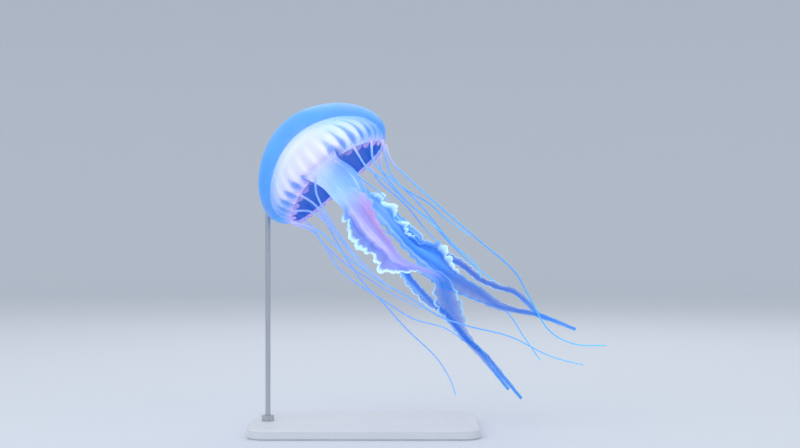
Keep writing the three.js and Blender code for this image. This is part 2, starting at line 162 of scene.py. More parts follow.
# %% Pieces
def piece_from(bm, name, material):
    """Finishes a closed mesh made in millimetres: merged, facing outwards, smooth and in metres."""
    bmesh.ops.remove_doubles(bm, verts=bm.verts, dist=0.002)
    bmesh.ops.dissolve_degenerate(bm, edges=bm.edges, dist=0.001)
    bmesh.ops.recalc_face_normals(bm, faces=bm.faces)
    bmesh.ops.scale(bm, vec=(MM, MM, MM), verts=bm.verts)
    for face in bm.faces:
        face.smooth = True
    mesh = bpy.data.meshes.new(name)
    bm.to_mesh(mesh)
    bm.free()
    mesh.materials.append(material)
    piece = bpy.data.objects.new(name, mesh)
    bpy.context.scene.collection.objects.link(piece)
    print(name, "has", len(mesh.polygons), "faces")
    return piece


def nodes_named(*starts):
    """The CAD nodes whose names start so."""
    return [name for name in sorted(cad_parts) if name.startswith(starts)]


# %% [markdown]
# ## The bell
# The bell is a thick dome of clear jelly. It could be carved from a sphere, but every level of it is a
# circle, so one section spun round the axis is shorter and truer. The section is a formula: a dome a little
# less full than an ellipse down to the widest level, and a skirt that curls in below it. A level of 0 is the
# apex, 1 the widest level and 2 the rim, on the outside and on the hollow alike.

# %% The bell's own frame
BELL_PLACE = Vector((-64.3, 4.4, 246.6))  # the apex
BELL_LEAN = 41.5  # degrees, the apex leans to the left
BELL_TILT = 10  # degrees, the opening turns towards the viewer
BELL_RADIUS = 59.4
INSET = 0.5  # a round surface stands out past the flats of the faceted part, so it starts a little inside
RIM_DEPTH = 62.7  # below the apex, at the front and the back
RIM_DROOP = 5.5  # how much lower the two sides hang
# The greatest radius, the depths of the top and of the widest level, how far the skirt curls in, and how full
# the dome is, where 2 is an ellipse.
OUTER = {"radius": BELL_RADIUS - INSET / 2, "top": INSET, "widest": 48.7, "curl": 14, "fullness": 1.72}
INNER = {"radius": 53.4, "top": 15.3, "widest": 51.5, "curl": 9, "fullness": 1.7}

bell_frame = (
    Matrix.Translation(BELL_PLACE)
    @ Matrix.Rotation(-math.radians(BELL_LEAN), 4, "Y")
    @ Matrix.Rotation(-math.radians(BELL_TILT), 4, "X")
)


def profile(level, angle, radius, top, widest, curl, fullness):
    """Distance to the axis and depth under the apex of a point of the dome or of the skirt."""
    if level <= 1:
        turn = level * math.pi / 2
        rise = max(math.cos(turn), 0) ** (2 / fullness)
        return radius * math.sin(turn) ** (2 / fullness), widest - (widest - top) * rise
    rim = RIM_DEPTH + RIM_DROOP * math.cos(angle) ** 2
    return radius - curl * (level - 1) ** 2.4, mix(widest, rim, level - 1)


def outside(level, angle):
    """The clear jelly's outer surface."""
    return profile(level, angle, **OUTER)


def hollow(level, angle):
    """Its inner surface, which leaves the jelly 15 mm thick at the apex and 1 mm at the rim."""
    return profile(level, angle, **INNER)


def lined(level, angle, distance):
    """The hollow's surface moved inwards, square to itself."""
    r, d = hollow(level, angle)
    r1, d1 = hollow(max(level - 0.01, 0), angle)
    r2, d2 = hollow(min(level + 0.01, 2), angle)
    slope = math.atan2(d2 - d1, r2 - r1)
    return max(r - distance * math.sin(slope), 0), d + distance * math.cos(slope)


def around(r, angle, depth):
    """A point at a distance from the bell's axis, an angle round it and a depth under the apex."""
    return Vector((r * math.cos(angle), r * math.sin(angle), -depth))


# %% Spinning a section
def spun(section, columns, place, masks):
    """Spins a section round the axis. Each point of it is a level and a side, 0 outside and 1 inside.
    place(level, side, angle) then gives each vertex its radius and depth, and masks its other values."""
    bm = bmesh.new()
    layers = {name: bm.verts.layers.float.new(name) for name in ("level", "side", *masks)}
    chain = []
    for level, side in section:
        vertex = bm.verts.new(around(1 + level, 0, side))
        vertex[layers["level"]], vertex[layers["side"]] = level, side
        chain.append(vertex)
    edges = [bm.edges.new(pair) for pair in zip(chain, chain[1:])]
    bmesh.ops.spin(
        bm, geom=chain + edges, cent=(0, 0, 0), axis=(0, 0, 1), angle=math.tau, steps=columns, use_merge=True
    )
    for vertex in bm.verts:
        level, side = vertex[layers["level"]], vertex[layers["side"]]
        angle = math.atan2(vertex.co.y, vertex.co.x)
        r, depth = place(level, side, angle)
        vertex.co = around(r, angle, depth)
        for name, mask in masks.items():
            vertex[layers[name]] = mask(level, side, angle)
    bmesh.ops.transform(bm, matrix=bell_frame, verts=bm.verts)
    return bm


def steps(start, end, count):
    """Evenly spaced numbers from start to end."""
    return [mix(start, end, i / (count - 1)) for i in range(count)]


# %% The jelly of the bell
LAPPETS = 32
LAPPET_START = 1.5  # the level where the lappets begin to part
LAPPET_NOTCH = 0.2  # how far up the skirt the notches reach, as a share of it
FURROW = 0.5  # millimetres deep, between two lappets
LIP = 0.5  # how far the rounded rim stands out below its edge


def scallop(angle):
    """0 at a notch between two lappets and 1 in the middle of one."""
    return abs(math.sin(LAPPETS / 2 * angle)) ** 0.5


VEIL_MIDDLE, VEIL_HALF, VEIL_FADE = (math.radians(x) for x in (-89, 16, 12.6))
VEIL_LEVELS = (1.15, 1.75)  # where the wall begins to clear and where it is clearest


def veil_mask(level, side, angle):
    """1 where the wall hangs thin and clear in front of the mouth tube."""
    away = between(abs(angle - VEIL_MIDDLE), VEIL_HALF, VEIL_HALF + VEIL_FADE)
    return between(level, *VEIL_LEVELS) * (1 - away)


def bell_place(level, side, angle):
    """Radius and depth of a point of the jelly's wall, with its lappets and furrows."""
    share = between(level, LAPPET_START, 2)
    level = level - share * LAPPET_NOTCH * (1 - scallop(angle))
    (r1, d1), (r2, d2) = outside(level, angle), hollow(level, angle)
    r, d = mix(r1, r2, side), mix(d1, d2, side)
    furrow = FURROW * share * (1 - scallop(angle)) * (1 - side)
    return r - furrow, d + LIP * math.sin(math.pi * side)


# Its points lie closer together below a level of 1.5, where the lappets are.
bell_section = (
    [(level, 0.0) for level in steps(0, 1.5, 34) + steps(1.54, 2, 14)]
    + [(2.0, side) for side in (0.15, 0.35, 0.65, 0.85)]
    + [(level, 1.0) for level in steps(2, 1.54, 12) + steps(1.5, 0, 26)]
)
BELL_COLUMNS = 320
bell_bm = spun(bell_section, BELL_COLUMNS, bell_place, {"veil": veil_mask})
print("bell:", len(bell_section), "points in its section,", BELL_COLUMNS, "columns round it")

# %% [markdown]
# ## Living jelly
# The jelly of a medusa is nearly all water in a fine net of collagen. It is clear where you look straight
# through it and milky blue where the eye travels a long way inside it, round the limb. Glass with real
# absorption would show that, but in air it would bend light far more than jelly does in water. So the shader
# is a plain wet surface whose opacity rises towards the limb, with a painted glow: it emits a little of its
# own colour, for the light that scatters inside.

# %% Material of the bell
bell_material, tree, shader = surface(
    "living jelly, clear and wet",
    IOR=1.35,
    Emission_Strength=0.22,
    Sheen_Weight=0.8,
    Sheen_Roughness=0.16,
    Sheen_Tint=colour("#c9ebff"),
)
level, side, veil = [
    add(tree, "Attribute", attribute_name=name, out="Fac") for name in ("level", "side", "veil")
]
place = add(tree, "TexCoord", out="Object")
# Faint clouds about 20 mm across, where the jelly is denser.
clouds = add(tree, "TexNoise", {"Vector": place, "Scale": 50.0, "Detail": 3.0})
# Blue from the apex down the skirt, and a lilac rim.
down = add(
    tree,
    "ValToRGB",
    {"Fac": add(tree, "Math", {0: level, 1: 0.5}, **TIMES)},
    stops=[
        (0.0, colour("#4d9fee")),
        (0.5, colour("#3c8ee8")),
        (0.85, colour("#4c97ea")),
        (0.96, colour("#a9a8ec")),
        (1.0, colour("#e6aee4")),
    ],
)
tinted = add(tree, "Mix", {FACTOR: clouds, FIRST: down, SECOND: colour("#b4dcff")}, **SOFT_LIGHT)
# Opacity: clear where the wall is seen square on, milky towards the limb, and fainter on the inner side.
facing = add(tree, "LayerWeight", {"Blend": 0.5}, out="Facing")
limb_stops = [(0.0, 0.05), (0.27, 0.11), (0.42, 0.62), (0.62, 0.78), (1.0, 0.95)]
limb = add(tree, "ValToRGB", {"Fac": facing}, stops=[(at, grey(value)) for at, value in limb_stops])
unveiled = add(tree, "MapRange", {"Value": veil, "To Min": 1.0, "To Max": 0.1})
outer = add(tree, "MapRange", {"Value": side, "To Min": 1.0, "To Max": 0.12})
wall = add(tree, "Math", {0: outer, 1: unveiled}, **TIMES)
film = add(tree, "Math", {0: limb, 1: wall}, **TIMES)
# The rim shows as a fine line, brighter from outside than from inside.
line = add(tree, "MapRange", {"Value": level, "From Min": 1.93, "From Max": 2.0, "To Max": 0.4}, **SMOOTH)
turned = add(tree, "MapRange", {"Value": side, "To Min": 1.0, "To Max": 0.3})
faint = add(tree, "Math", {0: line, 1: turned}, **TIMES)
rim = add(tree, "Math", {0: faint, 1: unveiled}, **TIMES)
opacity = add(tree, "Math", {0: film, 1: rim}, operation="MAXIMUM")
roughness = add(tree, "MapRange", {"Value": clouds, "To Min": 0.24, "To Max": 0.4})
# The jelly emits its own tint at a low strength: a painted glow that stands in for the light scattered inside
# it.
link_shader(tree, shader, tinted, tinted, opacity, roughness)

bell_piece = piece_from(bell_bm, "bell_jelly", bell_material)
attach(bell_piece, "root")
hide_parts("bell", "bell_margin")

# %% [markdown]
# ## The lining under the bell
# Below the jelly lies a thin white layer: the wall of the stomach in the middle, and round it the folds of
# the swimming muscle, which close the bell at each stroke. From outside it reads as a white dome inside the
# blue one. Between two folds the layer is thin and sunken, and long gaps there are painted blue-grey: partly
# the blue of the underside showing through, partly painted shade in the valleys between the folds. The
# underside, which faces into the hollow of the bell, is painted dark blue as painted shade.

# %% Lining
FOLDS = 32
GAP = 0.3  # between the jelly and its lining
LINING_END = 1.84
LINING_THICKNESS = (2.0, 0.8)  # at the apex and at its end
FOLD_HEIGHT = 0.7  # how far a fold stands out on the underside
FOLD_VALLEY = 0.3  # how far the upper side sinks between two folds
GAP_VALLEY = 0.9  # how far it sinks in a gap
GAP_THINNING = 0.35  # the share of its thickness that is missing there
GAP_SLANT = 0.12  # how far a gap leans, as a share of a fold
GAP_DROP = 1.3  # above 1, a gap is widest below its middle
GAP_OFFSET = math.radians(4)  # the gaps stand a little beside the notches
GAPS = {  # number round the bell: the levels where a gap starts and ends, and its width as a share of a fold
    -15: (1.14, 1.86, 0.5),
    -14: (1.06, 1.86, 0.6),
    -13: (1.0, 1.86, 0.7),
    -12: (0.96, 1.82, 0.7),
    -11: (0.88, 1.78, 0.72),
    -10: (1.16, 1.72, 0.5),
    -9: None,
    -8: None,
    -7: (0.8, 1.84, 1.0),
    -6: (0.72, 1.8, 0.6),
    -5: (0.64, 1.8, 0.8),
    -4: (0.68, 1.8, 0.64),
    -3: (0.8, 1.8, 0.66),
    -2: (0.9, 1.8, 0.6),
}


def gap_mask(level, side, angle):
    """1 in the middle of the thin stretch between two folds, 0 on the folds."""
    turn = (angle - GAP_OFFSET) / math.tau * FOLDS
    index = round(turn)
    # A gap that is not in the list gets its own place in the noise, and with it its levels and width.
    chance = noise.noise(Vector((0.7 + index % FOLDS * 1.37, 3.1, 0.4)))
    gap = GAPS.get(index, (0.98 + 0.3 * chance, 1.76 + 0.1 * chance, 0.6 + 0.3 * chance))
    if not gap or not gap[0] < level < gap[1]:
        return 0.0
    start, end, wide = gap
    share = ((level - start) / (end - start)) ** GAP_DROP
    swell = math.sin(math.pi * share)
    across = abs(turn - index + GAP_SLANT * (0.5 - share)) * 2
    return swell**0.35 * (1 - between(across, 0.3 * wide * swell**0.5, 0.08 + wide * swell**0.5))


CREAM_LEVEL, CREAM_ANGLE = 0.44, math.radians(-112)
COOL_ANGLE = math.radians(-8)


def cream_mask(level, side, angle):
    """The stomach glows through the middle of the dome, and most at the front."""
    return hump(level, CREAM_LEVEL, 0.2) * (0.25 + 0.75 * hump(angle, CREAM_ANGLE, 0.75))


def cool_mask(level, side, angle):
    """The right half of the dome is cyan-white, fading out towards the apex."""
    return between(math.cos(angle - COOL_ANGLE), 0.15, 0.9) * between(level, 0.12, 0.6)


def rib_mask(level, side, angle):
    """1 along the middle of each fold, where it is thick and white."""
    return between(level, 0.45, 0.95) * wave(FOLDS * (angle - GAP_OFFSET) + math.pi) ** 2


def lining_place(level, side, angle):
    """Radius and depth of a point of the lining, folded on its underside and thin in the gaps."""
    gap = gap_mask(level, side, angle)
    top = GAP + GAP_VALLEY * gap
    thickness = mix(*LINING_THICKNESS, level / LINING_END) * (1 - GAP_THINNING * gap)
    fold = wave(FOLDS * angle)
    top += FOLD_VALLEY * between(level, 0.4, 0.9) * (1 - fold)
    folded = FOLD_HEIGHT * between(level, 0.3, 0.9) * fold * (1 - between(level, 1.5, 1.8))
    return lined(level, angle, mix(top, top + thickness + folded, side))


lining_section = (
    [(level, 0.0) for level in steps(0, LINING_END, 58)]
    + [(LINING_END, 0.5)]
    + [(level, 1.0) for level in steps(LINING_END, 0, 46)]
)
lining_masks = {"gap": gap_mask, "cream": cream_mask, "cool": cool_mask, "rib": rib_mask, "veil": veil_mask}
LINING_COLUMNS = 384
lining_bm = spun(lining_section, LINING_COLUMNS, lining_place, lining_masks)
print("lining:", len(lining_section), "points in its section,", LINING_COLUMNS, "columns round it")

# %% Material of the lining
lining_material, tree, shader = surface(
    "jelly lining, milky",
    IOR=1.36,
    Emission_Strength=0.36,
)
level, side, gap, cream, cool, rib, veil = [
    add(tree, "Attribute", attribute_name=name, out="Fac") for name in ("level", "side", *lining_masks)
]
place = add(tree, "TexCoord", out="Object")
# Clouds about 18 mm across, where the layer is thicker.
clouds = add(tree, "TexNoise", {"Vector": place, "Scale": 55.0, "Detail": 4.0})
# Milk white at the apex, lilac down the folds and pink at the rim.
milk = add(
    tree,
    "ValToRGB",
    {"Fac": add(tree, "Math", {0: level, 1: 0.5}, **TIMES)},
    stops=[
        (0.0, colour("#e4f1ff")),
        (0.16, colour("#eceaff")),
        (0.3, colour("#e2dcfb")),
        (0.5, colour("#d3cdf8")),
        (0.78, colour("#d6c3f2")),
        (0.9, colour("#f0bce8")),
    ],
)
cooled = add(tree, "Mix", {FACTOR: cool, FIRST: milk, SECOND: colour("#c8ecff")}, **MIX)
creamed = add(tree, "Mix", {FACTOR: cream, FIRST: cooled, SECOND: colour("#fffadb")}, **MIX)
whiter = add(tree, "MapRange", {"Value": rib, "To Max": 0.6})
ribbed = add(tree, "Mix", {FACTOR: whiter, FIRST: creamed, SECOND: colour("#fbf3ff")}, **MIX)
clouded = add(tree, "Mix", {FACTOR: clouds, FIRST: ribbed, SECOND: colour("#dfe6ff")}, **SOFT_LIGHT)
# The gaps are painted blue-grey: partly the underside's blue through the thin layer, partly painted shade in
# the valleys between folds.
gapped = add(tree, "Mix", {FACTOR: gap, FIRST: clouded, SECOND: colour("#84a4e6")}, **MIX)
# The underside, facing into the bell's hollow, is painted dark blue: painted shade where little light
# reaches.
under = add(tree, "Mix", {FACTOR: side, FIRST: gapped, SECOND: colour("#1b66bf")}, **MIX)
# Opacity: a little less in the gaps, and nearly none in front of the mouth tube.
thin = add(tree, "MapRange", {"Value": gap, "To Min": 0.93, "To Max": 0.8})
body = add(tree, "Mix", {FACTOR: side, 2: thin, 3: 0.9}, data_type="FLOAT")
least = add(tree, "MapRange", {"Value": side, "To Min": 0.1, "To Max": 0.0})
clear = add(tree, "MapRange", {"Value": veil, "To Min": 1.0, "To Max": least})
opacity = add(tree, "Math", {0: body, 1: clear}, **TIMES)
roughness = add(tree, "MapRange", {"Value": clouds, "To Min": 0.3, "To Max": 0.5})
# The lining emits its own colour at a low strength: a painted glow.
link_shader(tree, shader, under, under, opacity, roughness)

lining_piece = piece_from(lining_bm, "bell_lining_folds", lining_material)
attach(lining_piece, "root")
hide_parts("bell_lining")

# %% [markdown]
# ## Courses
# Arms and tentacles trail in the water along smooth curves. Each is a short list of waypoints, with a spline
# through them. The spline is measured, so that a place on it is asked for by its real distance from the root,
# and rows of vertices come out evenly spaced.

# %% Splines by length
FRONT = Vector((0, -1, 0))
SWAY = 4  # how far arms and tentacles wander nearer to the viewer and farther away
SWAY_WAVE = 130
SWAY_START = 60  # they reach their full sway this far from the root
FINE_STEPS = 24  # measured points between two waypoints


def spline(rows, t):
    """A smooth curve through all rows, which passes row number t at t."""
    i = min(int(t), len(rows) - 2)
    f = t - i
    b, c = rows[i], rows[i + 1]
    a = rows[i - 1] if i > 0 else [2 * p - q for p, q in zip(b, c)]
    d = rows[i + 2] if i + 2 < len(rows) else [2 * q - p for p, q in zip(b, c)]
    return [
        q + 0.5 * f * (r - p + f * (2 * p - 5 * q + 4 * r - s + f * (3 * q - p - 3 * r + s)))
        for p, q, r, s in zip(a, b, c, d)
    ]


def course(rows, phase):
    """The length of a course, and a function that gives its row at s millimetres along it."""
    fine = []
    for i in range((len(rows) - 1) * FINE_STEPS + 1):
        row = spline(rows, i / FINE_STEPS)
        along = math.hypot(row[0] - rows[0][0], row[2] - rows[0][2])
        row[1] += SWAY * smooth(along / SWAY_START) * math.sin(math.tau * along / SWAY_WAVE + phase)
        fine.append(row)
    lengths = [0.0]
    for p, q in zip(fine, fine[1:]):
        lengths.append(lengths[-1] + math.dist(p[:3], q[:3]))

    def where(s):
        wanted = min(max(s, 0), lengths[-1])
        i = max(bisect_left(lengths, wanted), 1)
        share = (wanted - lengths[i - 1]) / (lengths[i] - lengths[i - 1])
        return [mix(p, q, share) for p, q in zip(fine[i - 1], fine[i])]

    return lengths[-1], where


def frame_at(where, s):
    """The middle of a course at s, its direction, the viewer's left along it, and its face."""
    middle = Vector(where(s)[:3])
    ahead = (Vector(where(s + 1)[:3]) - Vector(where(s - 1)[:3])).normalized()
    left = ahead.cross(FRONT).normalized()
    return middle, ahead, left, left.cross(ahead).normalized()


# %% [markdown]
# ## The mouth tube and the four oral arms
# Under the stomach hangs a tube, the manubrium, which splits into four arms. Each arm is a quarter of the
# tube that opens into a long ribbon with a firm midrib and two frilled lips. All five could be separate
# pieces, but the flesh runs on without a seam, so one sheet makes them all: four strips that are one tube
# down to the split and four ribbons below it. Solidify then gives the sheet its thickness, full at the
# midrib and thin at the lips.
#
# A real lip grows longer than the midrib that it hangs from, so it has to ruffle. Three waves do that here,
# each shorter and nearer to the edge than the last. The long one swings the lip to and fro, and the two
# short ones turn its edge round in small loops.

# %% Courses of the arms
# Each arm starts at an angle round the bell. Its turn is how far its broad side looks away from the viewer,
# in degrees, and its fold how far its lips hang back. Blue is its share of blue, rising to 1 at blue_from,
# and lace how far from the midrib the pale frills begin. Frills are tufts on the left and the right lip, each
# with its start, end and strength. A waypoint holds x, y and z, and the width of the left and the right lip.
ARMS = {
    "front": {
        "angle": -108,
        "turn": 0,
        "fold": 0.22,
        "blue": 0.0,
        "blue_from": 106,
        "lace": 0.74,
        "frills": ([(12, 95, 1.0), (108, 160, 0.6)], [(60, 95, 0.3), (112, 150, 0.5)]),
        "course": [
            [-15, -20, 188, 8.8, 11],
            [-5, -23, 174, 12.8, 12.8],
            [6, -24, 160, 15.2, 8],
            [16, -24, 149, 12, 6.4],
            [26, -24, 138, 11.2, 3.2],
            [37, -23, 132, 3.2, 2.4],
            [49, -22, 128, 2.4, 2.4],
            [60, -21, 121, 4.8, 5.6],
            [64, -20, 108, 8.8, 8],
            [68, -19, 95, 7.2, 8],
            [77, -18, 79, 4, 4],
            [92, -17, 62, 2.8, 2.4],
            [103, -16, 48, 1.3, 1.3],
            [114, -16, 34, 0.9, 0.9],
        ],
    },
    "right": {
        "angle": -18,
        "turn": 20,
        "fold": 0.15,
        "blue": 0.85,
        "blue_from": 0,
        "lace": 0.35,
        "frills": ([(60, 95, 0.2)], [(14, 68, 1.0), (68, 84, 0.25), (84, 118, 0.9), (118, 160, 0.35)]),
        "course": [
            [1, -9, 186, 4.8, 7.2],
            [14, -8, 173, 4.8, 11.6],
            [27, -7, 158, 4.8, 7.6],
            [39, -6, 146, 5.6, 6.8],
            [52, -5, 137, 9.6, 15.2],
            [65, -4, 128, 14.4, 6.4],
            [77, -3, 120, 11.2, 3.2],
            [92, -3, 111, 8, 3.2],
            [105, -3, 101, 4, 3.2],
            [120, -2, 96, 1.8, 1.8],
            [140, -2, 92, 1.5, 1.5],
            [168, -2, 81, 1, 1],
        ],
    },
    "left": {
        "angle": 162,
        "turn": -20,
        "fold": 0.15,
        "blue": 0.9,
        "blue_from": 0,
        "lace": 0.6,
        "frills": ([(60, 130, 0.7)], [(70, 120, 0.4)]),
        "course": [
            [-12, 0, 171, 4.8, 4],
            [6, 3, 152, 4.8, 4],
            [18, 5, 140, 4, 4],
            [29, 6, 131, 4, 3.2],
            [35, 7, 121, 3.6, 3.2],
            [44, 7, 111, 4, 2.8],
            [53, 8, 102, 3.6, 2.8],
            [63, 8, 94, 2.4, 2.4],
            [73, 8, 83, 2, 2],
            [83, 8, 71, 1.8, 1.8],
            [96, 8, 60, 1.6, 1.6],
            [111, 8, 42, 1.4, 1.4],
            [126, 8, 24, 0.9, 0.9],
        ],
    },
    "back": {
        "angle": 72,
        "turn": 180,
        "fold": 0.2,
        "blue": 1.0,
        "blue_from": 0,
        "lace": 0.6,
        "frills": ([(50, 160, 0.6)], [(50, 160, 0.6)]),
        "course": [
            [1, 10, 187, 4.8, 4.8],
            [16, 13, 176, 4.8, 4.8],
            [32, 13, 162, 4.8, 4.8],
            [48, 14, 147, 4.8, 4],
            [64, 14, 139, 4, 3.2],
            [78, 14, 132, 3.2, 2.4],
            [93, 14, 120, 2.8, 2.4],
            [109, 13, 113, 2.4, 2],
            [120, 13, 110, 2.4, 2],
            [131, 12, 101, 2.4, 2],
            [141, 12, 91, 1.6, 1.6],
            [154, 12, 87, 1, 1],
        ],
    },
}
MANUBRIUM_RADIUS = 10
MANUBRIUM_END = 70.7  # depth under the apex where the tube splits
MANUBRIUM_LOBE = 0.1  # its four ridges, as a share of the radius
ARM_ROOT_RADIUS = 9
ARM_ROOT_WIDTH = (6, 6)  # of its two lips
ARM_OPENING = 24  # over this length an arm opens from a quarter tube to a ribbon
TWIST, TWIST_WAVE = 32, 150  # degrees to and fro, and over what length

for name, arm in ARMS.items():
    angle = math.radians(arm["angle"])
    root = bell_frame @ around(ARM_ROOT_RADIUS, angle, MANUBRIUM_END + 2 * GAP)
    arm["total"], arm["where"] = course([[*root, *ARM_ROOT_WIDTH], *arm["course"]], angle)
    print(f"{name} arm is {arm['total']:.0f} mm long")

# %% Shape of the arms
TUBE_TOP = 22.6  # depth where the tube's wall has spread out into the lining
FLARE = 13.2  # how much wider the tube is where it meets the stomach
OPENING = 4.8  # how much wider it gets on its right, above the right arm
RIDGE = 0.7  # height of the soft ridges that run down each arm
QUIET = 0.35  # how much of the long wave is left between two tufts of frills
OUT_OF_STEP = 2.1  # how far the wave of the right lip runs behind that of the left one
SWING, CURL = 0.3, 0.22  # the most height of the long wave and of a loop, as a share of the lip's width
WAVER = 0.08  # how far the width of a lip goes up and down
WANDER = 1.6  # how many turns a loop may run ahead of its wave or behind it
LEAN, REACH = 0.4, 0.8  # how far a loop leans outwards and swings along the arm, in its radius
RUFFLES = [  # length of the wave and its most height in millimetres, and how close to the edge it keeps
    (14.0, 4.0, 1.5),
    (6.4, 1.9, 3.5),
    (3.3, 0.8, 8.0),
]


def frilliness(tufts, s):
    """How ruffled a lip is at s. A tuft grows over 12 mm from its start and fades over 16 mm at its end."""
    return max(
        strength * between(s, start, start + 12) * (1 - between(s, end - 8, end + 8))
        for start, end, strength in tufts
    )


def tube_radius(depth, angle):
    """The mouth tube: wide where it leaves the stomach, with four soft ridges, and wider again on the right
    where its quarter begins to open into the right arm."""
    right = max(math.cos(angle), 0)
    flare = FLARE * (1 - between(depth, TUBE_TOP, 64 - 9 * right))
    opening = OPENING * between(depth, 45, 67) * right**2
    lobe = MANUBRIUM_LOBE * math.cos(4 * (angle - math.radians(ARMS["front"]["angle"])))
    return (MANUBRIUM_RADIUS + flare + opening) * (1 + lobe * between(depth, 24, 40))


def arm_point(arm, s, w, frame_here, row):
    """A point of an arm's sheet, s millimetres below the split and w from -1 to 1 across it."""
    angle = math.radians(arm["angle"])
    quarter = angle + w * math.pi / 4
    depth = MANUBRIUM_END + s
    tube = bell_frame @ around(tube_radius(min(depth, MANUBRIUM_END), quarter), quarter, depth)
    if s <= 0:
        return tube
    middle, ahead, left, face = frame_here
    turn = math.radians(arm["turn"] + TWIST * math.sin(math.tau * s / TWIST_WAVE + angle))
    width = row[3 if w < 0 else 4] / abs(math.cos(turn))
    across = left * math.cos(turn) + face * math.sin(turn)
    out = face * math.cos(turn) - left * math.sin(turn)
    edge = abs(w)
    outwards = -math.copysign(1, w)
    length, most, power = RUFFLES[0]
    phase = math.tau * s / length + (0 if w < 0 else OUT_OF_STEP) + angle
    lip = edge * width * (1 + WAVER * edge * math.sin(1.7 * phase))
    point = middle + across * (outwards * lip) - out * (arm["fold"] * lip)
    strength = frilliness(arm["frills"][0 if w < 0 else 1], s)
    wavy = mix(QUIET, 1, strength) * math.sin(phase)
    point += out * (min(SWING * width, most) * edge**power * wavy)
    point += out * (RIDGE * math.cos(2.5 * math.pi * w + angle) * (1 - edge**4))
    for length, most, power in RUFFLES[1:]:
        wander = WANDER * noise.noise(Vector((s / (2.5 * length), outwards * 3 + arm["angle"], length)))
        radius = strength * min(CURL * width, most) * edge**power
        turned = math.tau * s / length + math.tau * wander
        outward = outwards * radius * (LEAN + math.cos(turned))
        point += across * outward + out * (radius * math.sin(turned))
        point += ahead * (REACH * radius * math.sin(turned + 0.3))
    return tube.lerp(point, smooth(s / ARM_OPENING))


# %% One sheet for the tube and the arms
ARM_COLUMNS = 28
FINE_LENGTH = 175  # down to here the rows are close together, for the ruffles
FINE_STEP, COARSE_STEP = 0.62, 2.2


def arm_rows(total):
    """Where rows of vertices lie along the tube and an arm, in millimetres below the split. They lie closer
    at the top, where the wall spreads out, and along the ruffles."""
    flare = [TUBE_TOP - MANUBRIUM_END + x for x in (0, 0.8, 1.8, 3, 4.4, 6, 8, 10)]
    tube = flare + steps(flare[-1] + 2, 0, 22)
    fine = [FINE_STEP * (i + 1) for i in range(int(min(total, FINE_LENGTH) / FINE_STEP))]
    coarse = [fine[-1] + COARSE_STEP * (i + 1) for i in range(int((total - fine[-1]) / COARSE_STEP))]
    return tube + fine + coarse + ([total] if total - (coarse or fine)[-1] > 0.3 else [])


arms_bm = bmesh.new()
ARM_MASKS = ("lip", "lace", "across", "along", "blue", "depth")
arm_layers = {name: arms_bm.verts.layers.float.new(name) for name in ARM_MASKS}
weights = arms_bm.verts.layers.deform.verify()
sheet_uv = arms_bm.loops.layers.uv.new("sheet")
THICKNESS_GROUP = 0
SHEET_THICKNESS = 3.0  # at a weight of 1; the lips are 0.6 mm thick and the midribs up to 3 mm
TUBE_WALL, LIP_THICKNESS, RIB_TOP, RIB_TIP = 2.2, 0.62, 3.0, 1.2
# The tube is bluest on its right, away from the key lamp: partly the right arm's blue, partly painted shade.
SHADE_ANGLE = math.radians(10)  # the tube is bluest on this side, its right
BLUE_FADE = 12  # millimetres before and after blue_from
QUARTER_WIDTH = 45  # degrees from the middle of an arm's quarter to its edge
UV_LENGTH = 20  # millimetres down an arm for one unit of the sheet's map
for arm in ARMS.values():
    rows = arm_rows(arm["total"])
    made = bmesh.ops.create_grid(
        arms_bm, x_segments=ARM_COLUMNS, y_segments=len(rows) - 1, size=1, calc_uvs=False
    )
    frames = [(frame_at(arm["where"], s), arm["where"](s)) for s in rows]
    for vertex in made["verts"]:
        i = round((vertex.co.y + 1) / 2 * (len(rows) - 1))
        s = rows[i]
        # The columns of a ribbon crowd towards its lips, where the ruffles are.
        crowded = math.copysign(1 - (1 - min(abs(vertex.co.x), 1)) ** 1.5, vertex.co.x)
        ribbon = smooth(s / ARM_OPENING)
        w = mix(vertex.co.x, crowded, ribbon)
        vertex.co = arm_point(arm, s, w, *frames[i])
        rib = mix(RIB_TOP, RIB_TIP, smooth(s / arm["total"]))
        thickness = mix(TUBE_WALL, mix(LIP_THICKNESS, rib, (1 - abs(w)) ** 2), ribbon)
        vertex[weights][THICKNESS_GROUP] = thickness / SHEET_THICKNESS
        tuft = frilliness(arm["frills"][0 if w < 0 else 1], s)
        vertex[arm_layers["lip"]] = abs(w) * ribbon
        vertex[arm_layers["lace"]] = tuft * ribbon * between(abs(w), arm["lace"], 0.97)
        vertex[arm_layers["across"]] = (w + 1) / 2
        vertex[arm_layers["along"]] = max(s, 0) / arm["total"]
        quarter = math.radians(arm["angle"]) + w * math.pi / 4
        shaded = wave(quarter - SHADE_ANGLE)
        start = arm["blue_from"]
        turned_blue = max(arm["blue"], between(s, start - BLUE_FADE, start + BLUE_FADE))
        vertex[arm_layers["blue"]] = mix(shaded, turned_blue, ribbon)
        vertex[arm_layers["depth"]] = (s + MANUBRIUM_END) / MANUBRIUM_END if s < 0 else 1
        for loop in vertex.link_loops:
            loop[sheet_uv].uv = (w + arm["angle"] / QUARTER_WIDTH, s / UV_LENGTH)
print("arms sheet:", len(arms_bm.verts), "vertices")

# %% Material of the arms
arms_material, tree, shader = surface(
    "frilled jelly of the oral arms, wet",
    IOR=1.35,
    Emission_Strength=0.42,
)
lip, lace, across, along, blue, depth = [
    add(tree, "Attribute", attribute_name=name, out="Fac") for name in ARM_MASKS
]
sheet = add(tree, "UVMap", uv_map="sheet")
# Soft fibres run down the arm, about 4 mm apart where it is widest and ten times as long.
stretched = add(tree, "Mapping", {"Vector": sheet, "Scale": (1.6, 0.22, 1.0)})
fibres = add(tree, "TexNoise", {"Vector": stretched, "Scale": 2.0, "Detail": 2.0})
wander = add(tree, "MapRange", {"Value": fibres, "To Min": -0.2, "To Max": 0.2})
crosswise = add(tree, "Math", {0: across, 1: wander}, operation="ADD")
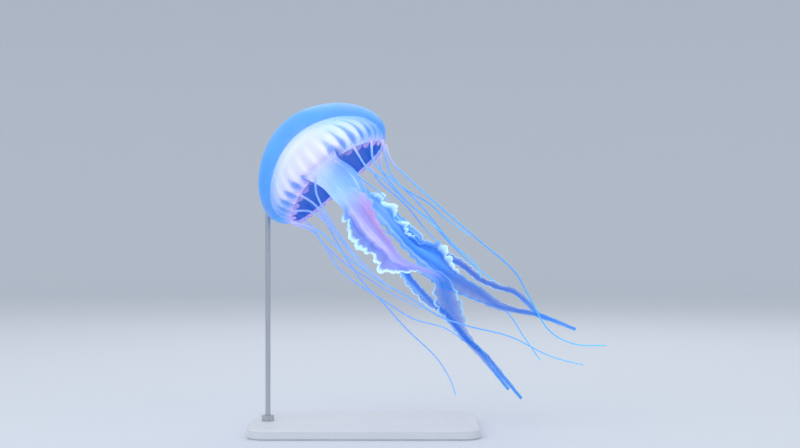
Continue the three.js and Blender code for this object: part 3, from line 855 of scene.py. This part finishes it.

# Bands of colour from the left lip of an arm to its right one. In the pale and the sky bands the light
# stripe left of the midrib is a painted highlight, and the deep blue towards the right lip is painted shade.
LILAC_BANDS = {
    0.05: "#86aaf2", 0.22: "#6c80de", 0.4: "#d4d0fa", 0.55: "#a8a4ec", 0.72: "#a08fe0", 0.88: "#d8aaea"
}
PALE_BANDS = {
    0.05: "#5aa4f2", 0.25: "#a8d8ff", 0.45: "#7ab2f8", 0.62: "#6aa8f6", 0.8: "#5a9cf0", 0.95: "#86c4fa"
}
SKY_BANDS = {
    0.05: "#4796ee", 0.25: "#9ad2ff", 0.4: "#3a86ea", 0.58: "#5aa8f8", 0.78: "#1f6cd8", 0.95: "#4a96ee"
}
lilac, pale, sky = [
    add(tree, "ValToRGB", {"Fac": crosswise}, stops=[(at, colour(text)) for at, text in bands.items()])
    for bands in (LILAC_BANDS, PALE_BANDS, SKY_BANDS)
]
# Shares that rise smoothly from 0 at the first number to the last number at the second one.
fading, deepening, trailing, ending, hanging, edging, lacing, shading, streaking, closing = [
    add(tree, "MapRange", {"Value": value, "From Min": start, "From Max": end, "To Max": most}, **SMOOTH)
    for value, start, end, most in (
        (along, 0.2, 0.4, 0.7),
        (along, 0.14, 0.32, 1.0),
        (along, 0.34, 0.62, 1.0),
        (along, 0.76, 0.98, 0.6),
        (along, 0.0, 0.14, 1.0),
        (lip, 0.8, 0.98, 0.7),
        (lace, 0.2, 0.95, 0.9),
        (depth, 0.55, 0.9, 0.75),
        (fibres, 0.5, 0.75, 0.45),
        (lip, 0.9, 0.99, 0.94),
    )
]
# The ribbons: lilac or blue bands, plainer tails with bright tips, pale edges and paler frills.
plain = add(tree, "Mix", {FACTOR: fading, FIRST: lilac, SECOND: colour("#9ea2ee")}, **MIX)
blues = add(tree, "Mix", {FACTOR: deepening, FIRST: pale, SECOND: sky}, **MIX)
banded = add(tree, "Mix", {FACTOR: blue, FIRST: plain, SECOND: blues}, **MIX)
tail = add(tree, "Mix", {FACTOR: blue, FIRST: colour("#b4bdf6"), SECOND: colour("#2774dc")}, **MIX)
deep = add(tree, "Mix", {FACTOR: trailing, FIRST: banded, SECOND: tail}, **MIX)
tipped = add(tree, "Mix", {FACTOR: ending, FIRST: deep, SECOND: colour("#6ab8fa")}, **MIX)
edged = add(tree, "Mix", {FACTOR: edging, FIRST: tipped, SECOND: colour("#79c4fb")}, **MIX)
laced = add(tree, "Mix", {FACTOR: lacing, FIRST: edged, SECOND: colour("#d2f4ff")}, **MIX)
# The tube: cream at the stomach, painted paler still at its top against the bell's shade, pale blue lower
# down, and bluer on its right, partly the blue of the right arm that opens there and partly painted shade on
# the side away from the key lamp.
upper = add(
    tree,
    "ValToRGB",
    {"Fac": depth},
    stops=[
        (0.3, colour("#fff8ff")),
        (0.62, colour("#f4ecff")),
        (0.8, colour("#d3ecff")),
        (1.0, colour("#b6e0ff")),
    ],
)
shaded = add(tree, "Math", {0: blue, 1: shading}, **TIMES)
column = add(tree, "Mix", {FACTOR: shaded, FIRST: upper, SECOND: colour("#559df9")}, **MIX)
streaked = add(tree, "Mix", {FACTOR: streaking, FIRST: column, SECOND: colour("#eaf6ff")}, **MIX)
skin = add(tree, "Mix", {FACTOR: hanging, FIRST: streaked, SECOND: laced}, **MIX)
# The tube and the frills get a strong painted glow and the ribbons a weak one: the tube's lifts it out of the
# bell's shade, and the frills' lightens their sides that turn away from the lamps.
dim = add(tree, "MapRange", {"Value": lace, "To Min": 0.4, "To Max": 0.05})
dimmed = add(tree, "Mix", {FACTOR: dim, FIRST: laced, SECOND: colour("#0a1a3a")}, **MIX)
painted_glow = add(tree, "Mix", {FACTOR: hanging, FIRST: streaked, SECOND: dimmed}, **MIX)
# Opacity: firm at the midrib, thin towards the lips, thinner still in the tails, and firm on the very edge.
body_stops = [(0.0, 0.96), (0.3, 0.88), (0.65, 0.62), (0.85, 0.46), (1.0, 0.7)]
body = add(tree, "ValToRGB", {"Fac": lip}, stops=[(at, grey(value)) for at, value in body_stops])
thinned = add(tree, "MapRange", {"Value": trailing, "To Min": 1.0, "To Max": 0.58})
clear = add(tree, "Math", {0: body, 1: thinned}, **TIMES)
opacity = add(tree, "Math", {0: clear, 1: closing}, operation="MAXIMUM")
roughness = add(tree, "MapRange", {"Value": fibres, "To Min": 0.18, "To Max": 0.4})
link_shader(tree, shader, skin, painted_glow, opacity, roughness)

# %% Thickness of the arms
arms_piece = piece_from(arms_bm, "manubrium_and_oral_arms", arms_material)
arms_piece.vertex_groups.new(name="thickness")
wall = arms_piece.modifiers.new("wall", "SOLIDIFY")
wall.thickness = SHEET_THICKNESS * MM
wall.offset = 0
wall.vertex_group = "thickness"
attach(arms_piece, "root")
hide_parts(*nodes_named("manubrium", "oral_arm_"))

# %% [markdown]
# ## Tentacles
# Sixteen stinging tentacles hang from every second notch of the rim. Each is a fine hollow thread, thickest
# where it leaves the margin, and pinched all along into tiny rings, where the stinging cells sit in bands.

# %% Tentacles
TENTACLES = [
    [[19, -15, 209], [26, -16, 198], [45, -18, 179], [67, -20, 152], [87, -21, 134], [92, -21, 121]],
    [[8, -30, 213], [23, -29, 199], [37, -28, 189], [51, -27, 181], [63, -26, 170], [84, -25, 155]],
    [[3, -42, 208], [16, -41, 199], [28, -40, 187], [43, -39, 174], [61, -38, 158]],
    [[-13, -48, 208], [-2, -47, 200], [10, -46, 191], [21, -45, 181]],
    [[-36, -49, 188], [-30, -48, 176], [-21, -46, 161], [-12, -45, 148], [-5, -44, 138]],
    [[-39, -42, 181], [-30, -41, 171], [-21, -40, 157], [-10, -38, 142], [7, -36, 124]],
    [[-43, -30, 175], [-34, -30, 170], [-23, -30, 159], [-11, -31, 146], [2, -32, 132], [22, -33, 114]],
    [
        [-37, -16, 160], [-11, -19, 137], [12, -22, 120], [36, -25, 107], [59, -28, 93], [83, -30, 85],
        [114, -31, 77], [145, -31, 62], [172, -30, 55],
    ],
    [
        [-42, 1, 159], [-32, 0, 147], [-24, -1, 133], [-10, -3, 120], [14, -6, 105], [38, -9, 90],
        [64, -10, 82], [83, -11, 69],
    ],
    [[-42, 15, 161], [-33, 14, 148], [-16, 13, 133], [2, 12, 121], [24, 11, 107], [47, 10, 96]],
    [
        [-31, 26, 164], [-19, 25, 142], [-3, 24, 118], [15, 23, 100], [33, 22, 80], [56, 21, 58],
        [68, 20, 40], [74, 19, 24],
    ],
    [
        [-11, 34, 173], [3, 33, 155], [18, 32, 141], [31, 31, 133], [61, 29, 116], [89, 28, 103],
        [114, 27, 94], [129, 26, 73], [143, 25, 53],
    ],
    [[2, 36, 186], [18, 35, 173], [33, 34, 155], [48, 33, 142], [69, 31, 129], [94, 29, 111]],
    [[12, 30, 199], [21, 29, 191], [35, 28, 178], [51, 27, 158], [66, 26, 144]],
    [
        [13, 20, 209], [21, 20, 198], [36, 20, 181], [51, 20, 169], [68, 20, 150], [85, 20, 134],
        [107, 20, 117],
    ],
    [
        [21, 3, 216], [31, 2, 205], [60, 0, 179], [92, -4, 151], [118, -9, 128], [131, -12, 106],
        [146, -14, 81], [166, -14, 70], [192, -14, 69],
    ],
]
# How milky each thread is: the near and lower ones are lilac and faint, the others bright blue.
MILKY = [0.1, 0.2, 0.3, 0.4, 0.7, 0.8, 0.9, 0.35, 0.6, 0.9, 0.6, 0.3, 0.5, 0.3, 0.1, 0.0]
ROOT_RADIUS, TIP_RADIUS = 0.85, 0.5
ROOT_SWELL = 0.2  # how much thicker a thread is where it leaves the margin
RING_DEPTH, RING_WAVE = 0.08, 3.6  # its rings, as a share of the radius and in millimetres
THREAD_SIDES = 10
THREAD_STEP = 1.2
ROOT_INSIDE = 2.5  # how far a tentacle's root reaches into the margin
OUT_OF_PHASE = 2.4  # how much later each tentacle sways than the one before it, in radians

tentacles_bm = bmesh.new()
along_layer = tentacles_bm.verts.layers.float.new("along")
milky_layer = tentacles_bm.verts.layers.float.new("milky")
for number, waypoints in enumerate(TENTACLES):
    angle = -math.radians((number + 0.5) * 360 / len(TENTACLES))
    notch = 2 - LAPPET_NOTCH * (1 - scallop(angle))
    (outer_radius, _), (inner_radius, depth) = outside(notch, angle), hollow(notch, angle)
    root = bell_frame @ around((outer_radius + inner_radius) / 2, angle, depth + 4 * GAP)
    total, where = course([list(root), *waypoints], OUT_OF_PHASE * number)
    print(f"tentacle {number + 1} is {total:.0f} mm long")
    count = round((total + ROOT_INSIDE) / THREAD_STEP)
    made = bmesh.ops.create_grid(tentacles_bm, x_segments=THREAD_SIDES, y_segments=count, size=1)
    middles = steps(-ROOT_INSIDE, total - INSET, count + 1)
    frames = [frame_at(where, s) for s in middles]
    for vertex in made["verts"]:
        i = round((vertex.co.y + 1) / 2 * count)
        turn = (vertex.co.x + 1) * math.pi
        s = middles[i]
        middle, ahead, left, face = frames[i]
        middle = middle + ahead * min(s, 0)
        radius = mix(ROOT_RADIUS, TIP_RADIUS, s / total) + ROOT_SWELL * (1 - between(s, -1, 9))
        radius *= 1 + RING_DEPTH * math.sin(math.tau * s / RING_WAVE)
        # Both ends are closed to a point, over one short step.
        radius *= 0 if i in (0, count) else 0.7 if i in (1, count - 1) else 1
        vertex.co = middle + left * (radius * math.cos(turn)) + face * (radius * math.sin(turn))
        vertex[along_layer] = max(s, 0) / total
        vertex[milky_layer] = MILKY[number]

# %% Material of the tentacles
tentacle_material, tree, shader = surface(
    "stinging thread, jelly with bands of stinging cells",
    IOR=1.36,
    Roughness=0.3,
    Emission_Strength=0.3,
)
along = add(tree, "Attribute", attribute_name="along", out="Fac")
milky = add(tree, "Attribute", attribute_name="milky", out="Fac")
place = add(tree, "TexCoord", out="Object")
# The bands of stinging cells make grains about 4 mm long.
grains = add(tree, "TexNoise", {"Vector": place, "Scale": 260.0, "Detail": 2.0})
thread = add(
    tree,
    "ValToRGB",
    {"Fac": along},
    stops=[
        (0.0, colour("#d3c4f6")),
        (0.1, colour("#7fb2f4")),
        (0.6, colour("#4b97ee")),
        (1.0, colour("#6cc2fb")),
    ],
)
lilac = add(tree, "MapRange", {"Value": milky, "To Max": 0.75})
faded = add(tree, "Mix", {FACTOR: lilac, FIRST: thread, SECOND: colour("#a3aee8")}, **MIX)
grained = add(tree, "Mix", {FACTOR: grains, FIRST: faded, SECOND: colour("#c5e2ff")}, **SOFT_LIGHT)
opacity = add(tree, "MapRange", {"Value": milky, "To Min": 0.95, "To Max": 0.62})
# The threads emit their own colour at a low strength: a painted glow.
link_shader(tree, shader, grained, grained, opacity)

tentacles_piece = piece_from(tentacles_bm, "tentacles_threads", tentacle_material)
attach(tentacles_piece, "root")
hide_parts(*nodes_named("tentacle_"))

# %% [markdown]
# ## The stand
# The model stands on a painted steel plate, and a brushed steel rod carries the bell. Both keep their CAD
# shape, which is right as it is, and only get a finish.

# %% Finishes of the stand
paint_material, tree, shader = surface("satin enamel on steel plate, sprayed", Coat_Weight=0.1)
place = add(tree, "TexCoord", out="Object")
# Sprayed paint has a fine orange peel, about 1.5 mm from bump to bump.
peel = add(tree, "TexNoise", {"Vector": place, "Scale": 650.0, "Detail": 2.0})
shade = add(tree, "Mix", {FACTOR: peel, FIRST: colour("#d3d8de"), SECOND: colour("#dde1e6")}, **MIX)
roughness = add(tree, "MapRange", {"Value": peel, "To Min": 0.36, "To Max": 0.48})
link_shader(tree, shader, shade, None, None, roughness)
bump = add(tree, "Bump", {"Height": peel, "Strength": 0.15, "Distance": 0.0002})
tree.links.new(bump, shader.inputs["Normal"])

steel_material, tree, shader = surface("stainless steel bar, brushed", Metallic=1.0)
place = add(tree, "TexCoord", out="Object")
# Brushing runs along the rod: grooves 0.3 mm apart, drawn a little coarser than real ones so that they show.
brushed = add(tree, "Mapping", {"Vector": place, "Scale": (3000.0, 3000.0, 60.0)})
grooves = add(tree, "TexNoise", {"Vector": brushed, "Scale": 1.0, "Detail": 2.0})
shade = add(tree, "Mix", {FACTOR: grooves, FIRST: colour("#b4b9bf"), SECOND: colour("#cdd1d6")}, **MIX)
roughness = add(tree, "MapRange", {"Value": grooves, "To Min": 0.22, "To Max": 0.4})
link_shader(tree, shader, shade, None, None, roughness)
STAND = {"stand_base": paint_material, "stand_rod": steel_material, "stand_collar": steel_material}
for name, material in STAND.items():
    for material_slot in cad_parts[name].material_slots:
        material_slot.material = material
    print(name, "is", material.name)

# %% [markdown]
# ## Studio
# A pale round cove of card runs under and all round the model, so that no view has a horizon. The light is
# soft and comes from everywhere, as it does for wet, see-through things. The strongest lamp is at the upper
# left.

# %% Floor
COVE_RADIUS, COVE_BEND, COVE_HEIGHT = 3.2, 0.8, 1.05  # metres
BEND_STEPS = 16

cove_bm = bmesh.new()
outline = [(0, 0), (COVE_RADIUS - COVE_BEND, 0)]
for i in range(1, BEND_STEPS + 1):
    turn = i / BEND_STEPS * math.pi / 2
    outline.append((COVE_RADIUS - COVE_BEND * (1 - math.sin(turn)), COVE_BEND * (1 - math.cos(turn))))
outline.append((COVE_RADIUS, COVE_HEIGHT))
line = [cove_bm.verts.new((x, 0, z)) for x, z in outline]
edges = [cove_bm.edges.new(pair) for pair in zip(line, line[1:])]
bmesh.ops.spin(
    cove_bm, geom=line + edges, cent=(0, 0, 0), axis=(0, 0, 1), angle=math.tau, steps=96, use_merge=True
)
bmesh.ops.remove_doubles(cove_bm, verts=cove_bm.verts, dist=0.0001)
bmesh.ops.recalc_face_normals(cove_bm, faces=cove_bm.faces)
for face in cove_bm.faces:
    face.smooth = True
cove_mesh = bpy.data.meshes.new("studio_floor")
cove_bm.to_mesh(cove_mesh)
cove_bm.free()
floor = bpy.data.objects.new("studio_floor", cove_mesh)
bpy.context.scene.collection.objects.link(floor)
card_material, tree, shader = surface("matt card", Roughness=0.9)
shader.inputs["Base Color"].default_value = colour("#d6dde6")
cove_mesh.materials.append(card_material)
print("studio floor:", COVE_RADIUS, "m in radius")

# %% Lights
LAMPS = {  # place in metres, size in metres, watts
    "key": ((-0.75, -0.9, 1.05), 1.6, 8.5),
    "fill": ((1.1, -0.9, 0.85), 1.4, 3.5),
    "back": ((0.2, 0.9, 1.1), 1.2, 3.6),
}
LOOK_AT = Vector((0.0, 0.0, 0.17))
SKY_COLOUR, SKY_STRENGTH = "#eef1f6", 0.78
for name, (place, size, watts) in LAMPS.items():
    lamp = bpy.data.objects.new(name, bpy.data.lights.new(name, "AREA"))
    lamp.data.size = size
    lamp.data.energy = watts
    lamp.location = place
    lamp.visible_camera = False
    lamp.rotation_euler = (LOOK_AT - Vector(place)).to_track_quat("-Z", "Y").to_euler()
    bpy.context.scene.collection.objects.link(lamp)
    print(name, "lamp,", watts, "watts")

world = bpy.data.worlds.new("studio")
world.use_nodes = True
sky_light = world.node_tree.nodes["Background"]
sky_light.inputs["Color"].default_value = colour(SKY_COLOUR)
sky_light.inputs["Strength"].default_value = SKY_STRENGTH
bpy.context.scene.world = world
bpy.context.scene.view_settings.view_transform = "Standard"
bpy.context.scene.cycles.transparent_max_bounces = 32
